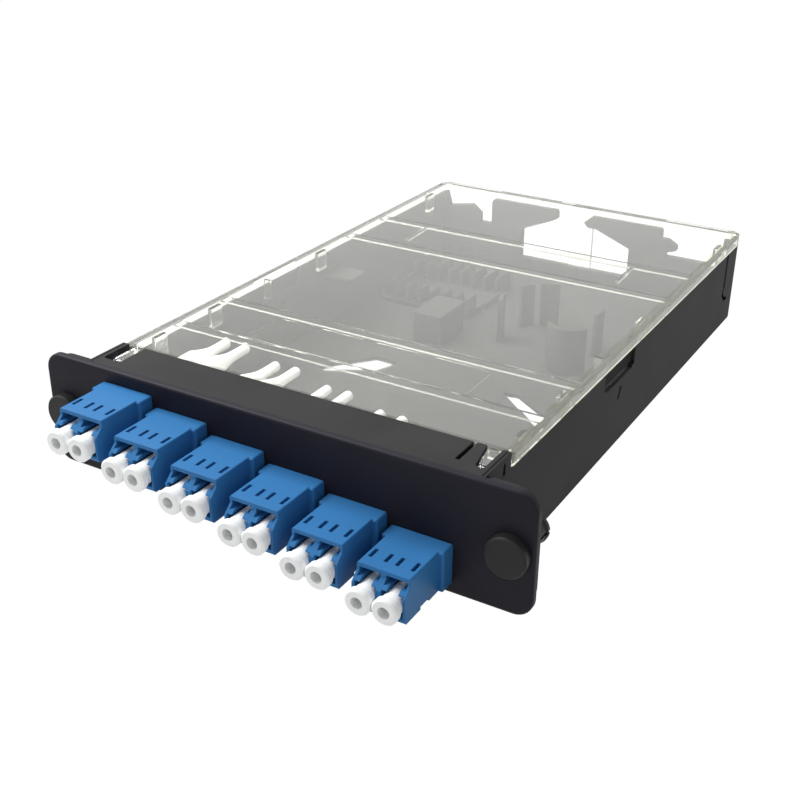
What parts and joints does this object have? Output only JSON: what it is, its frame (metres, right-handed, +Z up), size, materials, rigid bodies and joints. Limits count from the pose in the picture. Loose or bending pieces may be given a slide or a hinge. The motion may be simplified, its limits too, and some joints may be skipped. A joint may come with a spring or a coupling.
{
  "type": "fibre adapter panel",
  "caption": "Slim rack panel with a falling row of duplex LC adapters, a moulded fibre tray behind it, a clear ribbed cover and push-pull fasteners.",
  "frame": {"origin": "middle of the front plate's height and width, on the plane where the ears seat on the shelf", "axes": "+X to the right along the front, +Y back into the rack along the tray, +Z up"},
  "size_m": [0.13, 0.1977, 0.029],
  "materials": {
    "coated_plate": "satin",
    "black_moulding": "fine texture",
    "clear_moulding": "clear",
    "blue_adapter": "satin",
    "white_cap": "satin",
    "white_plug": "satin",
    "white_boot": "matte",
    "ceramic_white": "polished",
    "black_nylon": "satin"
  },
  "bodies": {
    "panel": {"alignment_sleeves": "ceramic_white", "base_tray": "black_moulding", "ceramic_ferrules": "ceramic_white", "duplex_adapter_1": "blue_adapter", "duplex_adapter_2": "blue_adapter", "duplex_adapter_3": "blue_adapter", "duplex_adapter_4": "blue_adapter", "duplex_adapter_5": "blue_adapter", "duplex_adapter_6": "blue_adapter", "front_plate": "coated_plate", "pigtail_plug_01": "white_plug", "pigtail_plug_02": "white_plug", "pigtail_plug_03": "white_plug", "pigtail_plug_04": "white_plug", "pigtail_plug_05": "white_plug", "pigtail_plug_06": "white_plug", "pigtail_plug_07": "white_plug", "pigtail_plug_08": "white_plug", "pigtail_plug_09": "white_plug", "pigtail_plug_10": "white_plug", "pigtail_plug_11": "white_plug", "pigtail_plug_12": "white_plug", "plug_boot_01": "white_boot", "plug_boot_02": "white_boot", "plug_boot_03": "white_boot", "plug_boot_04": "white_boot", "plug_boot_05": "white_boot", "plug_boot_06": "white_boot", "plug_boot_07": "white_boot", "plug_boot_08": "white_boot", "plug_boot_09": "white_boot", "plug_boot_10": "white_boot", "plug_boot_11": "white_boot", "plug_boot_12": "white_boot", "sleeve_holders": "white_plug", "splice_holder": "black_moulding", "split_grommet_left": "black_nylon", "split_grommet_right": "black_nylon"},
    "cover": {"clear_cover": "clear_moulding"},
    "cap_01": {"dust_cap_01": "white_cap"},
    "cap_02": {"dust_cap_02": "white_cap"},
    "cap_03": {"dust_cap_03": "white_cap"},
    "cap_04": {"dust_cap_04": "white_cap"},
    "cap_05": {"dust_cap_05": "white_cap"},
    "cap_06": {"dust_cap_06": "white_cap"},
    "cap_07": {"dust_cap_07": "white_cap"},
    "cap_08": {"dust_cap_08": "white_cap"},
    "cap_09": {"dust_cap_09": "white_cap"},
    "cap_10": {"dust_cap_10": "white_cap"},
    "cap_11": {"dust_cap_11": "white_cap"},
    "cap_12": {"dust_cap_12": "white_cap"},
    "knob_left": {"push_pull_knob_left": "black_nylon"},
    "knob_right": {"push_pull_knob_right": "black_nylon"}
  },
  "joints": [
    {"name": "cover_lift", "type": "slide", "parent": "panel", "child": "cover", "axis": [0, 0, 1], "range_m": [0, 0.03]},
    {"name": "cap_pull_01", "type": "slide", "parent": "panel", "child": "cap_01", "axis": [0, -1, 0], "range_m": [0, 0.012]},
    {"name": "cap_pull_02", "type": "slide", "parent": "panel", "child": "cap_02", "axis": [0, -1, 0], "range_m": [0, 0.012]},
    {"name": "cap_pull_03", "type": "slide", "parent": "panel", "child": "cap_03", "axis": [0, -1, 0], "range_m": [0, 0.012]},
    {"name": "cap_pull_04", "type": "slide", "parent": "panel", "child": "cap_04", "axis": [0, -1, 0], "range_m": [0, 0.012]},
    {"name": "cap_pull_05", "type": "slide", "parent": "panel", "child": "cap_05", "axis": [0, -1, 0], "range_m": [0, 0.012]},
    {"name": "cap_pull_06", "type": "slide", "parent": "panel", "child": "cap_06", "axis": [0, -1, 0], "range_m": [0, 0.012]},
    {"name": "cap_pull_07", "type": "slide", "parent": "panel", "child": "cap_07", "axis": [0, -1, 0], "range_m": [0, 0.012]},
    {"name": "cap_pull_08", "type": "slide", "parent": "panel", "child": "cap_08", "axis": [0, -1, 0], "range_m": [0, 0.012]},
    {"name": "cap_pull_09", "type": "slide", "parent": "panel", "child": "cap_09", "axis": [0, -1, 0], "range_m": [0, 0.012]},
    {"name": "cap_pull_10", "type": "slide", "parent": "panel", "child": "cap_10", "axis": [0, -1, 0], "range_m": [0, 0.012]},
    {"name": "cap_pull_11", "type": "slide", "parent": "panel", "child": "cap_11", "axis": [0, -1, 0], "range_m": [0, 0.012]},
    {"name": "cap_pull_12", "type": "slide", "parent": "panel", "child": "cap_12", "axis": [0, -1, 0], "range_m": [0, 0.012]},
    {"name": "knob_pull_left", "type": "slide", "parent": "panel", "child": "knob_left", "axis": [0, -1, 0], "range_m": [0, 0.005]},
    {"name": "knob_pull_right", "type": "slide", "parent": "panel", "child": "knob_right", "axis": [0, -1, 0], "range_m": [0, 0.005]}
  ]
}
